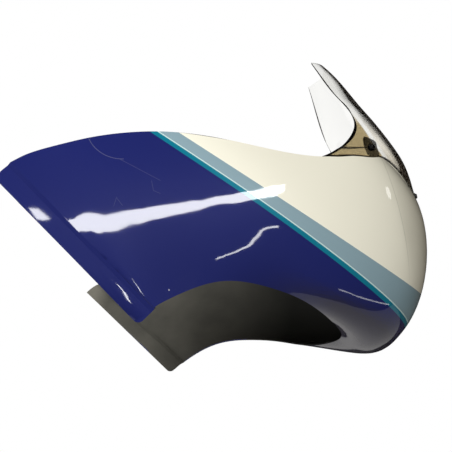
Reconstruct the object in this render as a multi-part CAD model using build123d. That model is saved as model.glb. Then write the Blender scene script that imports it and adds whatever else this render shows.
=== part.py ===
from build123d import *
import os

# Upper fairing of a sports motorcycle: one thin moulded shell that carries a bubble windscreen.
# Millimetres. X points forward, Y to the rider's left, Z up, and the XZ plane is the plane of symmetry.
# The origin is the middle of the four stay bosses inside the nose, in the plane of their end faces.

# Sheets, and the fit of the screen on the rim of the shell
WALL = 3.0
SCREEN_SHEET = 3.0
SCREEN_EDGE_GAP = 0.6
SCREEN_BACK_GAP = 0.3
RIM_LAND = 7.0
RIM_LAND_HEIGHT = 10.0
RIM_FLANGE = 2.5
RIM_FLANGE_HEIGHT = 5.0

# Joggle along each rear edge: the lap on which the side panel sits
LAP_WIDTH = 27.0
LAP_STEP = 2.5
LAP_STEP_RUN = 7.0
LAP_CORNER = 10.0

# Screen fixings: a tab of the rim flange, and a button-head screw with its washer and flanged nut
TAB_WIDTH = 28.0
TAB_HEIGHT = 52.0
TAB_CORNER = 6.0
SCREW_DIAMETER = 5.0
SCREW_HOLE = 5.6
SCREW_HEAD_DIAMETER = 9.5
SCREW_HEAD_HEIGHT = 2.8
SCREW_HEAD_ROUND = 1.7
SCREW_SOCKET = 3.0
SCREW_SOCKET_DEPTH = 1.6
SCREW_PAST_NUT = 2.0
WASHER_DIAMETER = 13.0
WASHER_THICKNESS = 1.2
WASHER_SEAT_GAP = 0.7
NUT_ACROSS_FLATS = 8.0
NUT_HEIGHT = 4.0
NUT_FLANGE_DIAMETER = 11.0
NUT_FLANGE_HEIGHT = 1.2
NUT_SEAT_DIAMETER = 12.0
NUT_SEAT_DEPTH = 0.4
NUT_BORE = 5.2

# Stay bosses inside the nose, each with a threaded insert
STAY_SPACING_Y = 90.0
STAY_SPACING_Z = 80.0
BOSS_DIAMETER = 18.0
BOSS_REACH = 60.0
BOSS_SKIN = 1.2
INSERT_DIAMETER = 9.0
INSERT_HOLE = 9.2
INSERT_LENGTH = 14.0
INSERT_BORE = 5.0
INSERT_WELL = 4.0

# Ribs of the left half, rear to nose. Each is a cubic Bezier: lower edge, two handles, rim.
RIBS = [
    [(-396, 195, -195), (-481, 228, -134), (-565, 260, -73), (-650, 293, -12)],
    [(-365, 194, -168), (-435, 240, -95), (-500, 268, -25), (-550, 279, 41)],
    [(-312, 192, -140), (-355, 245, -70), (-407, 262, 10), (-444, 262, 76)],
    [(-251, 181, -131), (-260, 250, -65), (-285, 245, 25), (-302, 229, 91)],
    [(-195, 158, -134), (-150, 235, -80), (-165, 205, 30), (-160, 180, 109)],
    [(-141, 115, -144), (-25, 175, -155), (-10, 145, 40), (-67, 131, 148)],
    [(-105, 48, -149), (25, 87, -212), (57, 93, 0), (7, 73, 117)],
    [(-95, 0, -150), (25, 0, -231), (74, 0, 3), (31, 0, 116)],
]
# Shares of a rib at which the wall and the screen's foot end. Both are cut back to the rim line.
RIB_RUN_ON = 1.08
SCREEN_FOOT = 0.955

# Rim line in side view (x, z), from the rear corner to past the nose
RIM_LINE = [(-670, -78), (-664, -54), (-653, -34), (-640, -20), (-625, -5), (-601, 11), (-573, 25),
            (-532, 45), (-444, 75), (-302, 91), (-160, 109), (-100, 132), (-72, 143), (-55, 154), (-30, 149), (5, 130),
            (40, 110), (90, 84)]

# The screen's foot starts behind the first rib of these, at a share of the way round to the other side
SCREEN_RIBS = RIBS[3:]
FOOT_START = 0.11

# Hoops of the screen above the rim: side end, handle from it, half width of the shoulder, front point
HOOPS = [
    [(-150, 150, 150), (86, -23, 42), 76, (5, 0, 196)],
    [(-132, 127, 212), (74, -20, 32), 65, (-33, 0, 247)],
    [(-150, 106, 272), (63, -18, 22), 52, (-75, 0, 303)],
    [(-187, 80, 339), (47, -16, 17), 40, (-117, 0, 369)],
    [(-214, 50, 408), (30, -15, 14), 27, (-167, 0, 429)],
]
SCREEN_RIBS_ACROSS = 13

# Rear edge of the screen in side view (x, z), from below the rim to above the top
SCREEN_EDGE = [(-186, 96), (-164, 109), (-127, 161), (-109, 215),
               (-113, 246), (-147, 306), (-196, 410), (-216, 450)]

# Screen screws lie where a level line from the cockpit's middle meets the screen: sideways share, height
COCKPIT_X = -210.0
SIDE_SCREW = (0.91, 172.0)
FRONT_SCREW = (0.1, 134.0)

# Reach of the blocks that cut the shell, and of the rods and blanks that pass through one sheet
CUTTER = 900.0
PAST_SHEET = 15.0


def mirrored(point):
    """The same point on the other side of the plane of symmetry."""
    return Vector(point.X, -point.Y, point.Z)


def run_of(rib, share):
    """Control points of a rib from its lower edge to the given share of it."""
    low, low_handle, high_handle, rim = [Vector(*point) for point in rib]
    rest = 1 - share
    second = low * rest + low_handle * share
    third = low * rest**2 + low_handle * (2 * rest * share) + high_handle * share**2
    end = low * rest**3 + low_handle * (3 * rest**2 * share) + high_handle * (3 * rest * share**2)
    return [low, second, third, end + rim * share**3]


def rib_curves():
    """Ribs of both sides, right rear to left rear, run on past the rim."""
    left = [run_of(rib, RIB_RUN_ON) for rib in RIBS]
    right = [[mirrored(point) for point in rib] for rib in left]
    return [Edge.make_bezier(*rib) for rib in right + left[-2::-1]]


def foot_hoop(share):
    """Hoop of the screen that lies on the shell, at the given share of the ribs that carry it."""
    left = [run_of(rib, share)[-1] for rib in SCREEN_RIBS]
    hoop = Edge.make_spline([mirrored(point) for point in left] + left[-2::-1])
    return hoop.trim(FOOT_START, 1 - FOOT_START)


def upper_hoop(edge, lead, shoulder, front):
    """Hoop of the screen above the rim: a quintic Bezier from edge to edge through the front point."""
    edge = Vector(*edge)
    handle = edge + Vector(*lead)
    middle = (Vector(*front) * 32 - edge * 2 - handle * 10) / 20
    left = [edge, handle, Vector(middle.X, shoulder, middle.Z)]
    return Edge.make_bezier(*[mirrored(point) for point in left], *left[::-1])


def screen_curves():
    """Curves of the screen from its foot to its top, right edge to left edge."""
    hoops = [foot_hoop(SCREEN_FOOT), foot_hoop(1)] + [upper_hoop(*hoop) for hoop in HOOPS]
    shares = [i / (SCREEN_RIBS_ACROSS - 1) for i in range(SCREEN_RIBS_ACROSS)]
    return [Edge.make_spline([hoop.position_at(share) for hoop in hoops]) for share in shares]


def skin_through(curves):
    """One smooth face through a row of curves."""
    return Shell.make_loft([Wire([curve]) for curve in curves]).faces()[0]


def sheet(skin, depth):
    """Solid between a skin and the given depth on its hollow side."""
    facing_out = skin.normal_at(0.5, 0.5).X > 0
    return Solid.thicken(skin, -depth if facing_out else depth)


def above_rim(raised):
    """Block of everything above the rim line, with the line raised by a height."""
    points = [(x, z + raised) for x, z in RIM_LINE]
    (rear_x, rear_z), (front_x, front_z) = points[0], points[-1]
    lid = Polyline((front_x, front_z), (CUTTER, front_z), (CUTTER, CUTTER), (-CUTTER, CUTTER),
                   (-CUTTER, rear_z), (rear_x, rear_z))
    return extrude(Plane.XZ * make_face([Spline(*points), lid]), CUTTER, both=True)


def ahead_of_screen_edge():
    """Block of everything ahead of the screen's rear edge in side view."""
    (low_x, low_z), (top_x, top_z) = SCREEN_EDGE[0], SCREEN_EDGE[-1]
    front = Polyline((top_x, top_z), (top_x, CUTTER), (CUTTER, CUTTER), (CUTTER, -CUTTER),
                     (low_x, -CUTTER), (low_x, low_z))
    return extrude(Plane.XZ * make_face([Spline(*SCREEN_EDGE), front]), CUTTER, both=True)


def rear_lap(wall, side):
    """Joggle and lap along one rear edge, drawn out of the end face of the wall. Its lower corner is round."""
    first, second = [run_of(rib, 0.5)[-1] for rib in RIBS[:2]]
    along = Vector(*RIBS[0][3]) - Vector(*RIBS[0][0])
    out = along.cross(second - first).normalized()
    back = along.cross(out).normalized()
    foot = Vector(*RIBS[0][0])
    if side < 0:
        first, out, back, foot = mirrored(first), mirrored(out), mirrored(back), mirrored(foot)
    end = min(wall.faces(), key=lambda face: (face.center() - first).length)
    step = back * LAP_STEP_RUN - out * LAP_STEP
    lap = Solid.extrude(end.moved(Location(step)), back * LAP_WIDTH)
    tip = Plane(foot + step + back * LAP_WIDTH, x_dir=-back, z_dir=out)
    nick = Rectangle(LAP_CORNER, 2 * LAP_CORNER, align=(Align.MIN, Align.CENTER))
    for height in (-LAP_CORNER, LAP_CORNER):
        nick -= Pos(LAP_CORNER, height) * Circle(LAP_CORNER)
    return [Solid.extrude(end, step), lap - extrude(tip * nick, PAST_SHEET, both=True)]


def screw_planes(screen_skin):
    """Planes on the outside of the screen, facing out, one for each screw."""
    planes = []
    for spread, height in (SIDE_SCREW, FRONT_SCREW):
        for side in (-1, 1):
            aim = Axis((COCKPIT_X, 0, height), (1, side * spread, 0))
            point, _ = screen_skin.find_intersection_points(aim)[0]
            normal = screen_skin.normal_at(point)
            out = normal if normal.dot(aim.direction) > 0 else -normal
            planes.append(Plane(point, x_dir=Vector(0, 0, 1).cross(out), z_dir=out))
    return planes


def rod(diameter, low, high):
    """Cylinder along Z between two heights."""
    return Pos(0, 0, low) * extrude(Circle(diameter / 2), high - low)


def hexagon(across_flats, low, high):
    """Six-sided bar along Z between two heights."""
    return Pos(0, 0, low) * extrude(RegularPolygon(across_flats / 2, 6, major_radius=False), high - low)


# Skins, and the places of the fasteners
shell_skin = skin_through(rib_curves())
screen_skin = skin_through(screen_curves())
ahead = ahead_of_screen_edge()
screws = screw_planes(screen_skin)
half_y, half_z = STAY_SPACING_Y / 2, STAY_SPACING_Z / 2
stays = [Plane((0, y, z), z_dir=(-1, 0, 0)) for y in (-half_y, half_y) for z in (-half_z, half_z)]

# Windscreen: the sheet above the rim, cut to its rear edge, with a hole for each screw
screen_sheet = sheet(screen_skin, SCREEN_SHEET)
windscreen = screen_sheet & above_rim(SCREEN_EDGE_GAP) & ahead
for plane in screws:
    windscreen -= plane * rod(SCREW_HOLE, -PAST_SHEET, PAST_SHEET)

# Shell: the wall with its laps, cut to the rim, and the land and flange that carry the screen
wall = sheet(shell_skin, WALL)
above = above_rim(0)
fairing_shell = wall
for side in (-1, 1):
    for piece in rear_lap(wall, side):
        fairing_shell += piece
fairing_shell -= above
fairing_shell += (sheet(shell_skin, RIM_LAND) & above_rim(-RIM_LAND_HEIGHT) & ahead) - above
flange_depth = SCREEN_SHEET + SCREEN_BACK_GAP
flange_skin = sheet(screen_skin, flange_depth).faces().filter_by(GeomType.OFFSET)[0]
lining = sheet(flange_skin, RIM_FLANGE) & ahead
fairing_shell += (lining & above_rim(-RIM_FLANGE)) - above_rim(RIM_FLANGE_HEIGHT)

# Tabs of the flange, each with a screw hole and a flat seat for the nut
nut_seat = NUT_SEAT_DEPTH - flange_depth - RIM_FLANGE
tab = extrude(RectangleRounded(TAB_WIDTH, TAB_HEIGHT, TAB_CORNER), PAST_SHEET, both=True)
for plane in screws:
    fairing_shell += lining & plane * tab
    fairing_shell -= plane * rod(SCREW_HOLE, -PAST_SHEET, 0)
    fairing_shell -= plane * rod(NUT_SEAT_DIAMETER, -PAST_SHEET, nut_seat)

# Stay bosses, which end in the thickness of the wall, each with a blind hole for its insert
outer_layer = sheet(shell_skin, BOSS_SKIN)
for plane in stays:
    boss = plane * rod(BOSS_DIAMETER, -BOSS_REACH, 0) - outer_layer
    fairing_shell += boss.solids().sort_by(Axis.X)[0]
    fairing_shell -= plane * rod(INSERT_HOLE, -INSERT_LENGTH - INSERT_WELL, 0)

# Fasteners, drawn along Z with the outside of the screen, or the end of a boss, at zero
washer_top = WASHER_SEAT_GAP + WASHER_THICKNESS
washer = rod(WASHER_DIAMETER, WASHER_SEAT_GAP, washer_top) - rod(SCREW_HOLE, WASHER_SEAT_GAP, washer_top)
head_top = washer_top + SCREW_HEAD_HEIGHT
button = rod(SCREW_HEAD_DIAMETER, washer_top, head_top)
screw = fillet(button.edges().sort_by(Axis.Z)[-1], SCREW_HEAD_ROUND)
screw += rod(SCREW_DIAMETER, nut_seat - NUT_HEIGHT - SCREW_PAST_NUT, washer_top)
screw -= hexagon(SCREW_SOCKET, head_top - SCREW_SOCKET_DEPTH, head_top)
nut = hexagon(NUT_ACROSS_FLATS, nut_seat - NUT_HEIGHT, nut_seat)
nut += rod(NUT_FLANGE_DIAMETER, nut_seat - NUT_FLANGE_HEIGHT, nut_seat)
nut -= rod(NUT_BORE, nut_seat - NUT_HEIGHT, nut_seat)
insert = rod(INSERT_DIAMETER, -INSERT_LENGTH, 0) - rod(INSERT_BORE, -INSERT_LENGTH, 0)

nodes = {
    "fairing_shell": fairing_shell,
    "windscreen": windscreen,
    "screen_screws": Compound([plane * screw for plane in screws]),
    "screen_washers": Compound([plane * washer for plane in screws]),
    "screen_nuts": Compound([plane * nut for plane in screws]),
    "stay_inserts": Compound([plane * insert for plane in stays]),
}
os.makedirs("parts", exist_ok=True)
for name, shape in nodes.items():
    export_step(shape, f"parts/{name}.step")
    print(name, len(shape.solids()), round(shape.volume), shape.is_valid)
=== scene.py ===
# %% [markdown]
# # Upper fairing of a sports motorcycle
# The solids of this fairing come from its construction source, in metres: X points forward, Y to the
# rider's left and Z up. They already have the real shape, so this notebook only dresses them: it gives
# each one the finish of the real piece, then sets up the studio and the camera.

import bmesh
import bpy
from mathutils import Matrix, Vector

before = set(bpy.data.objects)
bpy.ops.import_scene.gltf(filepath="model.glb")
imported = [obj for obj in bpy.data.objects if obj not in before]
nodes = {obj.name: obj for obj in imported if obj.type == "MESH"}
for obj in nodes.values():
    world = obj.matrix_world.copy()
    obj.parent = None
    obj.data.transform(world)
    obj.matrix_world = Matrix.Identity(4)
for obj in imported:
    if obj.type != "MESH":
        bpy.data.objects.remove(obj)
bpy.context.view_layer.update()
print("nodes:", sorted(nodes))

# %% [markdown]
# ## Tools for the finishes
# A finish is a small graph of shader nodes. Four helpers keep the graphs short. The first turns a
# colour as a paint shop would write it, an sRGB hex value, into the linear numbers that Blender works
# with. The second adds a node of any kind, sets it up and links its inputs in a single call. The other
# two start a finish and put it on a solid.


# %% Helpers for colours and nodes
def linear(hex_colour):
    """An sRGB hex colour as linear red, green, blue and alpha."""
    shares = [int(hex_colour[i:i + 2], 16) / 255 for i in (1, 3, 5)]
    return [s / 12.92 if s <= 0.04045 else ((s + 0.055) / 1.055) ** 2.4 for s in shares] + [1.0]


def add(tree, kind, inputs=(), **settings):
    """Add a node. Inputs, by place or by name, are values, sockets or nodes."""
    node = tree.nodes.new(kind)
    for name, value in settings.items():
        setattr(node, name, value)
    for key, value in inputs.items() if isinstance(inputs, dict) else enumerate(inputs):
        if isinstance(value, bpy.types.Node):
            value = next(socket for socket in value.outputs if socket.enabled)
        if isinstance(value, bpy.types.NodeSocket):
            tree.links.new(value, node.inputs[key])
        else:
            node.inputs[key].default_value = value
    return node


def start_finish(name):
    """A new material with its graph, a Principled shader and the place on the piece, in metres."""
    material = bpy.data.materials.new(name)
    material.use_nodes = True
    tree = material.node_tree
    place = add(tree, "ShaderNodeTexCoord").outputs["Object"]
    return material, tree, tree.nodes["Principled BSDF"], place


def dress(node_name, material):
    """Give a solid its finish."""
    slots = nodes[node_name].data.materials
    slots.clear()
    slots.append(material)
    print(node_name, "has", material.name)


print("mid grey #808080 is", round(linear("#808080")[0], 3), "in linear light")

# %% [markdown]
# ## The shell: one moulding, two finishes
# The shell is moulded in black ABS and sprayed on the outside only. Both finishes lie on one solid, so
# its graph has to know which faces were sprayed. An outside face looks away from the middle of the
# hollow and an inside face looks towards it, so the sign of one dot product tells them apart. A second
# material on chosen faces could do the same, but its edge would follow the triangles and look jagged.

# %% Faces on the outside
shell_finish, tree, shell_shader, place = start_finish("gloss_paint_on_black_abs")
x, y, z = add(tree, "ShaderNodeSeparateXYZ", [place]).outputs
out = add(tree, "ShaderNodeMath", [y], operation="ABSOLUTE").outputs[0]

HOLLOW_MIDDLE = (-0.30, 0.0, 0.02)
face = add(tree, "ShaderNodeNewGeometry").outputs["True Normal"]
away = add(tree, "ShaderNodeVectorMath", [place, HOLLOW_MIDDLE], operation="SUBTRACT")
facing = add(tree, "ShaderNodeVectorMath", [away, face], operation="DOT_PRODUCT")
outside = add(tree, "ShaderNodeMath", [facing, 0.0], operation="GREATER_THAN")
print("outside faces look away from", HOLLOW_MIDDLE)

# %% [markdown]
# ### Where the spray ended
# Along the rim a narrow land stands up behind the screen. It was masked, so the paint ends at the rim
# line. That line is a free curve in the side view, and a Float Curve node holds it: it gives the height
# of the rim for each place along the shell.

# %% Rim of the paint
# The rim in the side view, X then Z in millimetres
RIM_LINE = [(-670, -78), (-664, -54), (-653, -34), (-640, -20), (-625, -5), (-601, 11),
            (-573, 25), (-532, 45), (-444, 75), (-302, 91), (-160, 109), (-100, 132),
            (-72, 143), (-55, 154), (-30, 149), (5, 130), (40, 110), (90, 84)]
PAINT_OVER_RIM = 0.001


def side_line(tree, source, points):
    """A line of the side view: its value at the source, from points in millimetres."""
    (low, high), (least, most) = [(min(ends) / 1000, max(ends) / 1000) for ends in zip(*points)]
    along = add(tree, "ShaderNodeMapRange", [source, low, high])
    line = add(tree, "ShaderNodeFloatCurve", {1: along})
    bends = line.mapping.curves[0].points
    shares = [((a / 1000 - low) / (high - low), (b / 1000 - least) / (most - least)) for a, b in points]
    for share in shares[1:-1]:
        bends.new(*share)
    bends[0].location, bends[len(bends) - 1].location = shares[0], shares[-1]
    line.mapping.update()
    return add(tree, "ShaderNodeMapRange", {0: line, 3: least, 4: most})


over_rim = add(tree, "ShaderNodeMath", [z, side_line(tree, x, RIM_LINE)], operation="SUBTRACT")
# Ahead of the ear, at the foot of the screen, the land was sprayed with the nose
EAR_REAR, EAR_FRONT, LAND_HEIGHT = -0.020, -0.012, 0.05
spray_end = add(tree, "ShaderNodeMapRange", [x, EAR_REAR, EAR_FRONT, PAINT_OVER_RIM, LAND_HEIGHT])
under_rim = add(tree, "ShaderNodeMath", [over_rim, spray_end], operation="LESS_THAN")
print("rim of the paint:", len(RIM_LINE), "points")

# %% [markdown]
# ### Bosses for the stay
# Four bosses stand inside the nose. Parts of them look away from the middle of the hollow, so the first
# mask alone would paint them. A box round the bosses takes them out again.

# %% Sprayed faces
# Half the room round the four bosses, and the depth to which they stand free of the skin
BOSS_ROOM_Y, BOSS_ROOM_Z, BOSS_DEPTH = 0.058, 0.053, 0.031
up = add(tree, "ShaderNodeMath", [z], operation="ABSOLUTE")
sprayed = add(tree, "ShaderNodeMath", [x, BOSS_DEPTH], operation="GREATER_THAN")
for distance, room in ((out, BOSS_ROOM_Y), (up, BOSS_ROOM_Z)):
    past_room = add(tree, "ShaderNodeMath", [distance, room], operation="GREATER_THAN")
    sprayed = add(tree, "ShaderNodeMath", [sprayed, past_room], operation="MAXIMUM")
for mask in (outside, under_rim):
    sprayed = add(tree, "ShaderNodeMath", [sprayed, mask], operation="MINIMUM")
print("masks for the shell:", len(tree.nodes), "nodes")

# %% [markdown]
# ## Fields of colour
# The paint has blue behind, a narrow teal stripe with a pale pin line, a broad grey-blue band, and
# white in front. A painter masks such stripes with tape that lies along flat cuts through the shell.
# So each tape edge is a plane: its height falls by fixed shares of the way forward and of the way out
# from the middle. The way out is taken without its sign, and the two sides match.

# %% Tape edges
# Height of each edge at the origin, then its fall per metre forward and per metre out
LOWER_EDGE = (-0.120, 0.536, 0.166)
UPPER_EDGE = (-0.0317, 0.557, 0.424)

over_edges = []
for level, fall_forward, fall_out in (LOWER_EDGE, UPPER_EDGE):
    forward = add(tree, "ShaderNodeMath", [x, fall_forward, z], operation="MULTIPLY_ADD")
    outward = add(tree, "ShaderNodeMath", [out, fall_out, forward], operation="MULTIPLY_ADD")
    over_edges.append(add(tree, "ShaderNodeMath", [outward, level], operation="SUBTRACT"))
over_lower, over_upper = over_edges
print("tape edges:", len(over_edges))

# %% Paint, one field over the last
BLUE, TEAL, PIN, BAND, WHITE = "#1b2260", "#0c7288", "#bfd8d6", "#869fa9", "#f0eddc"
TEAL_WIDTH, PIN_WIDTH = 0.0085, 0.0022
colour = linear(BLUE)
for height, start, paint in ((over_lower, 0.0, TEAL), (over_lower, TEAL_WIDTH, PIN),
                             (over_lower, TEAL_WIDTH + PIN_WIDTH, BAND), (over_upper, 0.0, WHITE)):
    above = add(tree, "ShaderNodeMath", [height, start], operation="GREATER_THAN")
    colour = add(tree, "ShaderNodeMix", {0: above, 6: colour, 7: linear(paint)}, data_type="RGBA")
print("fields of colour:", BLUE, TEAL, PIN, BAND, WHITE)

# %% [markdown]
# ## Wear in the paint
# Years of handling left a long curved scratch near the rear of the right side, fine hairlines round it,
# and a few chips. They are too shallow for geometry, so they are marks in the colour. The scratch is the
# cut of a thin tube through the surface: points at one distance from the tube's axis. Each hairline is
# a thin flat cut between two ends. A chip is a small ball with a ragged edge. Real scratches are finer
# than the render can show, so they are drawn wider and fainter.

# %% Scratch
# The middle of the scratch's curve in the side view, its radius and its width, all in metres
SCRATCH_MIDDLE, SCRATCH_RADIUS, SCRATCH_WIDTH = (-0.4863, 0.0, 0.0724), 0.0558, 0.0005
SCRATCH_TOP, SCRATCH_FRONT, SCRATCH_SHOWS = 0.043, -0.474, 0.12
flat = add(tree, "ShaderNodeVectorMath", [place, (1.0, 0.0, 1.0)], operation="MULTIPLY")
reach = add(tree, "ShaderNodeVectorMath", [flat, SCRATCH_MIDDLE], operation="DISTANCE")
marks = add(tree, "ShaderNodeMath", [reach, SCRATCH_RADIUS, SCRATCH_WIDTH], operation="COMPARE")
right_side = add(tree, "ShaderNodeMath", [y, 0.0], operation="LESS_THAN")
low_part = add(tree, "ShaderNodeMath", [z, SCRATCH_TOP], operation="LESS_THAN")
rear_part = add(tree, "ShaderNodeMath", [x, SCRATCH_FRONT], operation="LESS_THAN")
for part in (low_part, rear_part, right_side, SCRATCH_SHOWS):
    marks = add(tree, "ShaderNodeMath", [marks, part], operation="MULTIPLY")
print("scratch on a curve of", round(1000 * SCRATCH_RADIUS), "mm")

# %% Hairlines
# X and Z of both ends in the side view, in millimetres
HAIRLINES = [(-478.7, 16.1, -412.5, -7.2), (-477.0, -58.3, -474.6, -44.3),
             (-474.6, -44.3, -463.8, -54.7), (-426.1, -9.5, -420.6, -24.6),
             (-420.6, -24.6, -409.4, -27.5)]
HAIRLINE_WIDTH, HAIRLINE_SHOWS = 0.0004, 0.07
hairs = 0.0
for x1, z1, x2, z2 in HAIRLINES:
    slope = (z2 - z1) / (x2 - x1)
    level, half_width = (z1 - slope * x1) / 1000, HAIRLINE_WIDTH * (1 + slope ** 2) ** 0.5
    height = add(tree, "ShaderNodeMath", [x, -slope, z], operation="MULTIPLY_ADD")
    on_line = add(tree, "ShaderNodeMath", [height, level, half_width], operation="COMPARE")
    middle, half_length = (x1 + x2) / 2000, (x2 - x1) / 2000
    between = add(tree, "ShaderNodeMath", [x, middle, half_length], operation="COMPARE")
    hair = add(tree, "ShaderNodeMath", [on_line, between], operation="MULTIPLY")
    hairs = add(tree, "ShaderNodeMath", [hairs, hair], operation="MAXIMUM")
for share in (right_side, HAIRLINE_SHOWS):
    hairs = add(tree, "ShaderNodeMath", [hairs, share], operation="MULTIPLY")
marks = add(tree, "ShaderNodeMath", [marks, hairs], operation="MAXIMUM")
print("hairlines:", len(HAIRLINES))

# %% Chips
# Middle and radius of each chip in metres
CHIPS = [((-0.3783, -0.200, -0.1637), 0.0012), ((-0.300, -0.186, -0.118), 0.0012),
         ((-0.521, -0.262, -0.009), 0.0011)]
RAGGED_MM, RAGGED_DEPTH, CHIP_SHOWS = 1000 / 900, 0.0016, 0.6
LAID_BARE = "#c9cbd2"
ragged = add(tree, "ShaderNodeTexNoise", {"Vector": place, "Scale": 1000 / RAGGED_MM})
for middle, radius in CHIPS:
    gap = add(tree, "ShaderNodeVectorMath", [place, middle], operation="DISTANCE")
    gap = add(tree, "ShaderNodeMath", [ragged, RAGGED_DEPTH, gap], operation="MULTIPLY_ADD")
    chip = add(tree, "ShaderNodeMath", [gap, radius + RAGGED_DEPTH / 2], operation="LESS_THAN")
    chip = add(tree, "ShaderNodeMath", [chip, CHIP_SHOWS], operation="MULTIPLY")
    marks = add(tree, "ShaderNodeMath", [marks, chip], operation="MAXIMUM")
colour = add(tree, "ShaderNodeMix", {0: marks, 6: colour, 7: linear(LAID_BARE)}, data_type="RGBA")
print("chips:", len(CHIPS))

# %% [markdown]
# ## The nose crease
# A soft crease runs down each side of the nose, from the corner of the screen. It is shallow, so it is
# given as a bend of the shading: ahead of a flat cut through the nose the surface turns away a little
# more, and the turn dies out again within a hand's width. It is softest by the screen and ends above
# the band. A thin dark line of painted shade lies in the fold.

# %% Crease
# Place of the cut, its lean outwards and upwards; then the reach, turn and rounding of the crease
CREASE_PLACE, CREASE_OUT, CREASE_UP = 0.0558, -0.30, 0.2526
CREASE_REACH, CREASE_TURN, CREASE_ROUND = 0.09, 0.16, 0.006
CREASE_FOOT, CREASE_FULL, SOFT_START, SOFT_END, SOFT_SHARE = -0.085, 0.0, 0.02, 0.12, 0.25
ahead = add(tree, "ShaderNodeMath", [z, CREASE_UP, x], operation="MULTIPLY_ADD")
ahead = add(tree, "ShaderNodeMath", [out, CREASE_OUT, ahead], operation="MULTIPLY_ADD")
ahead = add(tree, "ShaderNodeMath", [ahead, CREASE_PLACE], operation="ADD")
# A hyperbola rounds the corner at the crease
rounded = add(tree, "ShaderNodeMath", [ahead, ahead, CREASE_ROUND ** 2], operation="MULTIPLY_ADD")
rounded = add(tree, "ShaderNodeMath", [rounded, 0.5], operation="POWER")
rounded = add(tree, "ShaderNodeMath", [rounded, ahead], operation="ADD")
share = add(tree, "ShaderNodeMapRange", [rounded, 0.0, 2 * CREASE_REACH])
halved = add(tree, "ShaderNodeMath", [share, -0.5, 1.0], operation="MULTIPLY_ADD")
over_foot = add(tree, "ShaderNodeMapRange", [z, CREASE_FOOT, CREASE_FULL])
soft_top = add(tree, "ShaderNodeMapRange", [z, SOFT_START, SOFT_END, 1.0, SOFT_SHARE])
fold = share
for factor in (halved, over_foot, soft_top, -CREASE_TURN * CREASE_REACH):
    fold = add(tree, "ShaderNodeMath", [fold, factor], operation="MULTIPLY")
print("crease turns", CREASE_TURN, "within", CREASE_REACH, "m")

# %% [markdown]
# ### Painted shade in the fold, painted reflection under the nose
# Both are mixed into the colour. A thin dark line of painted shade marks the fold of the crease, and
# a grey painted reflection of the floor clouds the paint on the underside of the nose.

# %% Painted shade in the fold and painted reflection under the nose
# Colour, width and strength of the dark line of painted shade in the fold
FOLD_SHADE, FOLD_SHADE_WIDTH, FOLD_SHADE_SHOWS = "#4a4438", 0.0009, 0.2
painted_fold_shade = add(tree, "ShaderNodeMath", [ahead, 0.0, FOLD_SHADE_WIDTH], operation="COMPARE")
for factor in (over_foot, FOLD_SHADE_SHOWS):
    painted_fold_shade = add(tree, "ShaderNodeMath", [painted_fold_shade, factor], operation="MULTIPLY")
colour = add(tree, "ShaderNodeMix", {0: painted_fold_shade, 6: colour, 7: linear(FOLD_SHADE)}, data_type="RGBA")

# The painted grey reflection grows as a face turns down, from the first to the second share of the way
UNDERSIDE_REFLECTION, UNDERSIDE_REFLECTION_START, UNDERSIDE_REFLECTION_FULL, UNDERSIDE_REFLECTION_SHOWS = "#2e2b31", -0.60, -0.85, 0.8
UNDERSIDE_REFLECTION_REAR, UNDERSIDE_REFLECTION_FRONT = -0.25, -0.12
turned_up = add(tree, "ShaderNodeSeparateXYZ", [face]).outputs["Z"]
painted_underside_reflection = add(tree, "ShaderNodeMapRange", [turned_up, UNDERSIDE_REFLECTION_START, UNDERSIDE_REFLECTION_FULL, 0.0, UNDERSIDE_REFLECTION_SHOWS])
ahead_of_wings = add(tree, "ShaderNodeMapRange", [x, UNDERSIDE_REFLECTION_REAR, UNDERSIDE_REFLECTION_FRONT])
painted_underside_reflection = add(tree, "ShaderNodeMath", [painted_underside_reflection, ahead_of_wings], operation="MULTIPLY")
colour = add(tree, "ShaderNodeMix", {0: painted_underside_reflection, 6: colour, 7: linear(UNDERSIDE_REFLECTION)}, data_type="RGBA")
# Painted shade in the fold and painted reflection under the nose
print("painted_shade_and_reflection:", FOLD_SHADE, "in the fold and", UNDERSIDE_REFLECTION, "under the nose")

# %% [markdown]
# ## Relief of both finishes
# Sprayed paint dries in very low waves, which make long reflections swim a little. Moulded ABS has a
# fine grain that scatters them. Both are far too low for geometry, so a Bump node gives them, and it
# takes the crease along. The real grain is a few tenths of a millimetre wide. That is too fine to show
# here, so it is drawn at 2 mm.

# %% Spray waves and moulded grain
SPRAY_WAVE_MM, SPRAY_WAVE_DEPTH = 14.0, 0.00002
GRAIN_MM, GRAIN_DEPTH = 2.0, 0.0002
waves = add(tree, "ShaderNodeTexNoise",
            {"Vector": place, "Scale": 1000 / SPRAY_WAVE_MM, "Detail": 1.0})
paint_relief = add(tree, "ShaderNodeMath", [waves, SPRAY_WAVE_DEPTH, fold], operation="MULTIPLY_ADD")
grain = add(tree, "ShaderNodeTexNoise", {"Vector": place, "Scale": 1000 / GRAIN_MM, "Detail": 2.0})
bare_relief = add(tree, "ShaderNodeMath", [grain, GRAIN_DEPTH], operation="MULTIPLY")
relief = add(tree, "ShaderNodeMix", {0: sprayed, 2: bare_relief, 3: paint_relief}, data_type="FLOAT")
bump = add(tree, "ShaderNodeBump", {"Strength": 1.0, "Distance": 1.0, "Height": relief})
print("waves of", SPRAY_WAVE_MM, "mm on paint, grain of", GRAIN_MM, "mm on bare ABS")
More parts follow.
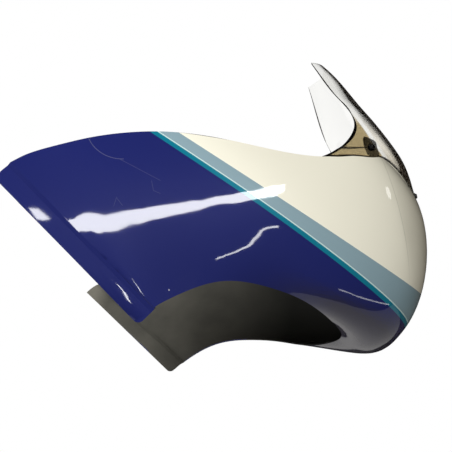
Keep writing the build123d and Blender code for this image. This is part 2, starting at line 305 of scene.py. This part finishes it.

# %% [markdown]
# ## Gloss
# The paint is a coloured base under a hard clear film, which the shader's coat stands for: it gives
# the sharp white reflections. Bare ABS has no film, and its grain scatters the light, so it looks dark
# grey rather than black. Dust lies on it in clouds. Its grey is also painted darker deep in the nose
# and lighter along the rear lap: painted shade of the hollow, and painted light where it opens.

# %% Dust, painted shade and painted light on the bare ABS
BARE, DUST, NOSE_SHADE, LAP_PAINTED_LIGHT = "#3f3f3b", "#67655e", "#0d0e0d", "#8a877d"
DUST_CLOUD_MM = 1000 / 14
NOSE_SHADE_REAR, NOSE_SHADE_FRONT, NOSE_SHADE_SHARE = -0.48, -0.18, 0.93
LAP_FRONT, LAP_REAR, LAP_PAINTED_LIGHT_SHARE = -0.60, -0.64, 0.5
dusty = add(tree, "ShaderNodeTexNoise",
            {"Vector": place, "Scale": 1000 / DUST_CLOUD_MM, "Detail": 4.0})
bare = add(tree, "ShaderNodeMix", {0: dusty, 6: linear(BARE), 7: linear(DUST)}, data_type="RGBA")
# Painted shade: the bare grey turns darker deep in the nose
painted_nose_shade = add(tree, "ShaderNodeMapRange", [x, NOSE_SHADE_REAR, NOSE_SHADE_FRONT, 0.0, NOSE_SHADE_SHARE])
bare = add(tree, "ShaderNodeMix", {0: painted_nose_shade, 6: bare, 7: linear(NOSE_SHADE)}, data_type="RGBA")
# Painted light: the bare grey turns lighter along the rear lap
painted_lap_light = add(tree, "ShaderNodeMapRange", [x, LAP_FRONT, LAP_REAR, 0.0, LAP_PAINTED_LIGHT_SHARE])
bare = add(tree, "ShaderNodeMix", {0: painted_lap_light, 6: bare, 7: linear(LAP_PAINTED_LIGHT)}, data_type="RGBA")
print("bare ABS from", NOSE_SHADE, "in the nose to", LAP_PAINTED_LIGHT, "on the lap")

# %% Sprayed and bare ABS together
BARE_ROUGHNESS, BASE_ROUGHNESS = 0.45, 0.5
both = add(tree, "ShaderNodeMix", {0: sprayed, 6: bare, 7: colour}, data_type="RGBA")
gloss = add(tree, "ShaderNodeMix", {0: sprayed, 2: BARE_ROUGHNESS, 3: BASE_ROUGHNESS}, data_type="FLOAT")
for name, source in (("Base Color", both), ("Roughness", gloss),
                     ("Coat Weight", sprayed), ("Normal", bump)):
    socket = next(socket for socket in source.outputs if socket.enabled)
    tree.links.new(socket, shell_shader.inputs[name])
# A clear film that mirrors sharply, over a base that hardly shines by itself
shell_shader.inputs["Coat Roughness"].default_value = 0.05
shell_shader.inputs["Specular IOR Level"].default_value = 0.08
dress("fairing_shell", shell_finish)

# %% [markdown]
# ## Tinted acrylic
# The screen is a formed sheet of clear acrylic with a bronze fade: its two wings are bronze, its front
# is lightly smoked, and it is clear from the middle up. To the eye it is a sheet of tinted glass, so
# its shader lets all light through, and the tint is in its colour, by height and by a leaning line.

# %% Tint of the screen
screen_finish, tree, screen_shader, place = start_finish("bronze_fade_acrylic")
x, y, z = add(tree, "ShaderNodeSeparateXYZ", [place]).outputs
CLEAR, SMOKE, BRONZE = "#fdfdfb", "#f2eee4", "#ad9c76"
# The bronze of each wing ends at a line that leans back from the ear of the rim. A clear strip follows
LEAN, WING_END, STRIP_END = (0.846, 0.0, 0.533), (0.0355, 0.0385), (0.0450, 0.0490)
FADE_START, FADE_END = 0.222, 0.262
lean = add(tree, "ShaderNodeVectorMath", [place, LEAN], operation="DOT_PRODUCT")
ahead_of_wing = add(tree, "ShaderNodeMapRange", [lean, *WING_END])
ahead_of_strip = add(tree, "ShaderNodeMapRange", [lean, *STRIP_END])
fade = add(tree, "ShaderNodeMapRange", [z, FADE_START, FADE_END])
tint = linear(CLEAR)
tint = add(tree, "ShaderNodeMix", {0: ahead_of_strip, 6: tint, 7: linear(SMOKE)}, data_type="RGBA")
tint = add(tree, "ShaderNodeMix", {0: ahead_of_wing, 6: linear(BRONZE), 7: tint}, data_type="RGBA")
tint = add(tree, "ShaderNodeMix", {0: fade, 6: tint, 7: linear(CLEAR)}, data_type="RGBA")
print("tint:", BRONZE, "at the wings,", SMOKE, "in front and", CLEAR, "above")

# %% [markdown]
# ### Painted dark edge of the sheet
# A clear sheet looks dark along its rounded rear edge and where one looks along it: it mirrors dark
# surroundings there, and light has a long way through it. Both are painted into its colour: a dark
# strip along the edge line of the side view, and a darkening by Layer Weight, which depends on how
# steeply the sheet is seen. So the dark outline is painted reflection and painted shade.

# %% Painted dark edge and outline of the screen
PAINTED_DARK = "#0c0a08"
# Rear edge of the sheet in the side view, Z then X in millimetres
EDGE_LINE = [(96, -186), (109, -164), (161, -127), (215, -109),
             (246, -113), (306, -147), (410, -196), (450, -216)]
ROUNDING, ROUNDING_TOP, ROUNDING_END = 0.0050, 0.215, 0.250
ahead_of_edge = add(tree, "ShaderNodeMath", [x, side_line(tree, z, EDGE_LINE)], operation="SUBTRACT")
rounding = add(tree, "ShaderNodeMapRange", [z, ROUNDING_TOP, ROUNDING_END, ROUNDING, 0.0])
painted_edge_strip = add(tree, "ShaderNodeMath", [ahead_of_edge, rounding], operation="LESS_THAN")

# The painted dark outline starts and is full at these shares, and the clear top holds it back a little
OUTLINE_START, OUTLINE_FULL = 0.60, 0.71
TOP_START, TOP_FULL, TOP_HOLDS_BACK = 0.30, 0.36, 0.08
along_sheet = add(tree, "ShaderNodeLayerWeight", {"Blend": 0.5}).outputs["Facing"]
clear_top = add(tree, "ShaderNodeMapRange", [z, TOP_START, TOP_FULL, 0.0, TOP_HOLDS_BACK])
along_sheet = add(tree, "ShaderNodeMath", [along_sheet, clear_top], operation="SUBTRACT")
outline = add(tree, "ShaderNodeMapRange", [along_sheet, OUTLINE_START, OUTLINE_FULL])
# Painted shade and reflection: the edge strip and the outline darken the tint of the sheet
for dark in (painted_edge_strip, outline):
    tint = add(tree, "ShaderNodeMix", {0: dark, 6: tint, 7: linear(PAINTED_DARK)}, data_type="RGBA")
print("dark edge along", len(EDGE_LINE), "points")

# %% Clear sheet
tree.links.new(tint.outputs[2], screen_shader.inputs["Base Color"])
# Acrylic bends light as its IOR says, and the polished sheet doesn't blur it
screen_shader.inputs["Roughness"].default_value = 0.0
screen_shader.inputs["IOR"].default_value = 1.49
screen_shader.inputs["Transmission Weight"].default_value = 1.0
smoke = add(tree, "ShaderNodeVolumeAbsorption", {"Color": linear("#b5aca0"), "Density": 12.0})
tree.links.new(smoke.outputs[0], tree.nodes["Material Output"].inputs["Volume"])
dress("windscreen", screen_finish)

# %% [markdown]
# ## Fixings
# The screws are black oxide steel, the washers black nylon, the nuts zinc plated and the inserts
# turned brass. They are small, so each finish is one colour whose gloss changes from place to place,
# as handled metal does. Scales are the size of the blotches in millimetres.


# %% Metals and nylon
def fixing_finish(name, colour, metallic, roughness, blotch_mm):
    """A finish for a small fixing, with uneven gloss."""
    material, tree, shader, place = start_finish(name)
    blotch = add(tree, "ShaderNodeTexNoise", {"Vector": place, "Scale": 1000 / blotch_mm, "Detail": 2.0})
    gloss = add(tree, "ShaderNodeMapRange", [blotch, 0.0, 1.0, 0.7 * roughness, 1.3 * roughness])
    tree.links.new(gloss.outputs[0], shader.inputs["Roughness"])
    shader.inputs["Base Color"].default_value = linear(colour)
    shader.inputs["Metallic"].default_value = metallic
    return material


# Oxide is a dark satin metal, nylon is dull black, zinc is pale and bright, and brass is warm yellow
dress("screen_screws", fixing_finish("black_oxide_steel", "#2b2b2c", 1.0, 0.4, 2.0))
dress("screen_washers", fixing_finish("black_nylon", "#1c1c1d", 0.0, 0.5, 3.0))
dress("screen_nuts", fixing_finish("zinc_plated_steel", "#b9bab5", 1.0, 0.35, 2.0))
dress("stay_inserts", fixing_finish("turned_brass", "#b99655", 1.0, 0.3, 1.5))

# %% [markdown]
# ## Studio
# The fairing is held in the air by its stay, so the floor lies well below it. The lamps reach only part
# of so large a floor, and a weak glow of its own keeps the rest pale. The floor and everything else
# round the fairing are flat sheets, so one helper makes them from their corners.

# %% Floor
FLOOR_Z, FLOOR_HALF = -0.80, 6.0
scene = bpy.context.scene
scene.view_settings.view_transform = "Standard"


def stage_sheet(name, corners, colour, seen=False, only_mirrored=False, glow=0.0):
    """A flat sheet of the studio, from its corners. It may glow, and it may show in gloss alone."""
    sheet = bmesh.new()
    sheet.faces.new([sheet.verts.new(corner) for corner in corners])
    mesh = bpy.data.meshes.new(name)
    sheet.to_mesh(mesh)
    sheet.free()
    piece = bpy.data.objects.new(name, mesh)
    scene.collection.objects.link(piece)
    piece.visible_camera = piece.visible_transmission = seen
    piece.visible_diffuse = piece.visible_shadow = not only_mirrored
    # A dull woven or painted sheet, which has no shine of its own
    material, tree, shader, place = start_finish(name + "_finish")
    weave = add(tree, "ShaderNodeTexNoise", {"Vector": place, "Scale": 3.0})
    uneven = add(tree, "ShaderNodeMapRange", [weave, 0.0, 1.0, 0.85, 0.95])
    tree.links.new(uneven.outputs[0], shader.inputs["Roughness"])
    shader.inputs["Base Color"].default_value = linear(colour)
    shader.inputs["Specular IOR Level"].default_value = 0.0
    shader.inputs["Emission Color"].default_value = linear("#ffffff")
    shader.inputs["Emission Strength"].default_value = glow
    mesh.materials.append(material)
    print(name, "with", len(corners), "corners and glow", glow)


FLOOR_SIGNS = [(-1, -1), (1, -1), (1, 1), (-1, 1)]
stage_sheet("floor", [(FLOOR_HALF * a, FLOOR_HALF * b, FLOOR_Z) for a, b in FLOOR_SIGNS], "#989692",
            seen=True, glow=0.30)

# %% [markdown]
# ### Dark cloth
# Gloss paint and the screen mirror whatever stands round them. So dark cloth hangs on all sides but the
# rear, as a photographer would hang it to keep the blue deep. Only gloss mirrors it: it takes no light
# from the floor, and neither the camera nor light through the screen meets it.

# %% Cloth round the fairing
CLOTH, WARM_CLOTH = "#2a2724", "#4d4132"
FOOT_Z, TOP_Z, NEAR_Y, FAR_Y, FRONT_X = -0.79, 2.6, -2.6, 3.4, 1.7
NEAR_REAR_X, REAR_X, OVERLAP_X = -1.3, -3.0, 2.0
LOW_CLOTH = [(NEAR_REAR_X, NEAR_Y), (FRONT_X, NEAR_Y), (FRONT_X, -0.1), (-1.7, -0.1), (-1.7, -1.5),
             (NEAR_REAR_X, -1.5)]
CLOTHS = [
    ("near_cloth", CLOTH, [(NEAR_REAR_X, NEAR_Y, FOOT_Z), (OVERLAP_X, NEAR_Y, FOOT_Z),
                           (OVERLAP_X, NEAR_Y, TOP_Z), (NEAR_REAR_X, NEAR_Y, TOP_Z)]),
    ("front_cloth", WARM_CLOTH, [(FRONT_X, NEAR_Y, FOOT_Z), (FRONT_X, FAR_Y, FOOT_Z),
                                 (FRONT_X, FAR_Y, TOP_Z), (FRONT_X, NEAR_Y, TOP_Z)]),
    ("far_cloth", CLOTH, [(REAR_X, FAR_Y, FOOT_Z), (REAR_X, FAR_Y, TOP_Z),
                          (FRONT_X, FAR_Y, TOP_Z), (FRONT_X, FAR_Y, FOOT_Z)]),
    ("top_cloth", CLOTH, [(REAR_X, NEAR_Y, TOP_Z), (OVERLAP_X, NEAR_Y, TOP_Z),
                          (OVERLAP_X, FAR_Y, TOP_Z), (REAR_X, FAR_Y, TOP_Z)]),
    ("low_cloth", CLOTH, [(a, b, FOOT_Z) for a, b in LOW_CLOTH]),
]
for name, cloth, corners in CLOTHS:
    stage_sheet(name, corners, cloth, only_mirrored=True)

# %% [markdown]
# ### World
# The world is white for the camera, for reflections and through the screen, which gives the white
# background. For everything else it is a dim warm light, as in a room, so that it brightens the paint
# only a little. A Light Path node tells the two apart.

# %% White background and dim room
ROOM, ROOM_STRENGTH = "#ece2cd", 0.14
scene.world = bpy.data.worlds.new("studio")
scene.world.use_nodes = True
tree = scene.world.node_tree
tree.nodes.clear()
path = add(tree, "ShaderNodeLightPath").outputs
seen = path["Is Camera Ray"]
for ray in ("Is Glossy Ray", "Is Transmission Ray"):
    seen = add(tree, "ShaderNodeMath", [seen, path[ray]], operation="MAXIMUM")
white = add(tree, "ShaderNodeBackground", [linear("#ffffff"), 1.0])
dim = add(tree, "ShaderNodeBackground", [linear(ROOM), ROOM_STRENGTH])
either = add(tree, "ShaderNodeMixShader", [seen, dim, white])
add(tree, "ShaderNodeOutputWorld", [either])
print("world: white for the camera,", ROOM, "at", ROOM_STRENGTH, "for the rest")

# %% [markdown]
# ## Light that the paint mirrors
# The long highlight on the side is the mirror image of a lamp. Its outline was followed back by
# reflection from the side wall to a plane beside the fairing, and a glowing sheet of that outline gives
# the same highlight. So close a lamp would light the paint unevenly, so these sheets show in gloss
# alone. Smaller sheets do the same for the lap, for the narrow and forked highlights, for the oval on
# the nose and for the thin line under it. The wall above the wheel arch bends enough to mirror the
# narrow one twice, and a dark flag hides the second.

# %% Outline of the long light
# Upper and lower line on the plane beside the fairing, X then Z in metres
LONG_TOP = [(-0.575, -0.122), (-0.520, -0.125), (-0.494, -0.120), (-0.451, -0.111), (-0.420, -0.104),
            (-0.396, -0.085), (-0.377, -0.063), (-0.352, -0.029), (-0.336, -0.017), (-0.318, 0.009),
            (-0.296, 0.038), (-0.270, 0.063), (-0.239, 0.095), (-0.203, 0.139), (-0.166, 0.181),
            (-0.080, 0.296), (0.000, 0.426), (0.066, 0.519)]
LONG_FOOT = [(-0.575, -0.172), (-0.548, -0.187), (-0.517, -0.165), (-0.483, -0.157), (-0.455, -0.151),
             (-0.435, -0.149), (-0.405, -0.153), (-0.389, -0.146), (-0.374, -0.122), (-0.354, -0.091),
             (-0.339, -0.070), (-0.321, -0.041), (-0.300, -0.015), (-0.275, 0.007), (-0.247, 0.026),
             (-0.214, 0.055), (-0.178, 0.099), (-0.105, 0.177), (-0.029, 0.273), (0.040, 0.414)]
print("long light:", len(LONG_TOP), "points above and", len(LONG_FOOT), "below")

# %% Sheets of light beside the fairing, and a flag
SOFTBOX_Y, FLAG_Y = -0.60, -0.30
# Outlines on those planes, X then Z in metres
NARROW = [(-0.274, -0.402), (-0.212, -0.360), (-0.167, -0.294), (-0.151, -0.216), (-0.136, -0.132),
          (-0.099, -0.076), (-0.056, -0.034), (-0.056, -0.057), (-0.093, -0.094), (-0.124, -0.136),
          (-0.140, -0.232), (-0.155, -0.310), (-0.195, -0.368), (-0.268, -0.415)]
LAP = [(-0.650, -0.161), (-0.632, -0.162), (-0.605, -0.181), (-0.615, -0.183), (-0.632, -0.184)]
FORK = [(-0.452, -0.318), (-0.464, -0.318), (-0.487, -0.385), (-0.620, -0.600), (-0.606, -0.600),
        (-0.473, -0.385)]
FLAG = [(-0.345, -0.235), (-0.302, -0.235), (-0.302, -0.184), (-0.345, -0.184)]
for name, outline, glow in (("long_light", LONG_TOP + LONG_FOOT[::-1], 19.0),
                            ("narrow_light", NARROW, 14.0),
                            ("lap_light", LAP, 19.0), ("fork_light", FORK, 19.0)):
    corners = [(a, SOFTBOX_Y, b) for a, b in outline]
    stage_sheet(name, corners, "#ffffff", only_mirrored=True, glow=glow)
stage_sheet("flag", [(a, FLAG_Y, b) for a, b in FLAG], CLOTH, only_mirrored=True)

# %% Level sheets over and under the nose
OVAL_Z, TUBE_Z = 0.50, -0.775
# Outlines on those planes, X then Y in metres
OVAL = [(0.341, -0.201), (0.354, -0.171), (0.430, -0.194), (0.440, -0.235), (0.386, -0.230)]
TUBE = [(0.287, -0.511), (1.307, -0.191), (1.293, -0.149), (0.273, -0.469)]
for name, outline, level, glow in (("oval_light", OVAL, OVAL_Z, 3.0), ("tube_light", TUBE, TUBE_Z, 5.0)):
    corners = [(a, b, level) for a, b in outline]
    stage_sheet(name, corners, "#ffffff", only_mirrored=True, glow=glow)

# %% [markdown]
# ## Lamps
# Three soft lamps give the plain light: the key from the right, a weak fill from ahead and above, and
# one for the left side. Each is a wide area lamp, so shadows are soft. They only brighten the paint.
# Their own mirror images would hide the shaped ones, and bright flecks of them would show in the
# screen, so neither gloss nor light through the screen meets them.


# %% Key, fill and left lamp
def strip_lamp(name, start, end, width, target, radiance):
    """A soft strip of light from start to end, turned towards the target."""
    start, end, target = Vector(start), Vector(end), Vector(target)
    middle = (start + end) / 2
    length = (end - start).length
    data = bpy.data.lights.new(name, "AREA")
    data.shape = "RECTANGLE"
    data.size, data.size_y = length, width
    data.energy = radiance * 4 * length * width
    along = (end - start).normalized()
    back = middle - target
    back = (back - along * back.dot(along)).normalized()
    turn = Matrix((along, back.cross(along), back)).transposed().to_4x4()
    lamp = bpy.data.objects.new(name, data)
    scene.collection.objects.link(lamp)
    lamp.matrix_world = Matrix.Translation(middle) @ turn
    lamp.visible_glossy = lamp.visible_transmission = False
    print(name, "of", round(data.energy, 1), "watts")


SIDE, LEFT_SIDE, NOSE = (-0.35, -0.25, -0.05), (-0.35, 0.25, -0.05), (-0.05, -0.14, 0.0)
strip_lamp("key_light", (-1.9, -2.3, 0.5), (-0.7, -2.3, 0.5), 1.2, SIDE, 11.9)
strip_lamp("fill_light", (0.7, -0.6, 0.8), (1.2, -0.1, 0.8), 0.4, NOSE, 1.0)
strip_lamp("left_light", (-1.9, 2.6, 1.3), (-0.5, 2.6, 1.3), 1.4, LEFT_SIDE, 9.0)

# %% [markdown]
# ## Camera
# The view is from the right and below, as when the fairing is held up to look at its side. The
# camera's three directions and its place are in the frame of the solids.

# %% Camera
RIGHT = Vector((0.98917, 0.04701, 0.13902))
DOWN = Vector((0.10781, 0.40991, -0.90573))
AHEAD = Vector((-0.09957, 0.91091, 0.40040))
PLACE = Vector((-0.20893, -1.09617, -0.44146))
SENSOR_MM, FOCAL_SHARE = 36.0, 620 / 452

camera_data = bpy.data.cameras.new("camera")
camera_data.sensor_width = SENSOR_MM
camera_data.lens = SENSOR_MM * FOCAL_SHARE
camera = bpy.data.objects.new("camera", camera_data)
scene.collection.objects.link(camera)
camera_turn = Matrix((RIGHT, -DOWN, -AHEAD)).transposed().to_4x4()
camera.matrix_world = Matrix.Translation(PLACE) @ camera_turn
scene.camera = camera
print("lens in mm:", round(camera_data.lens, 1))
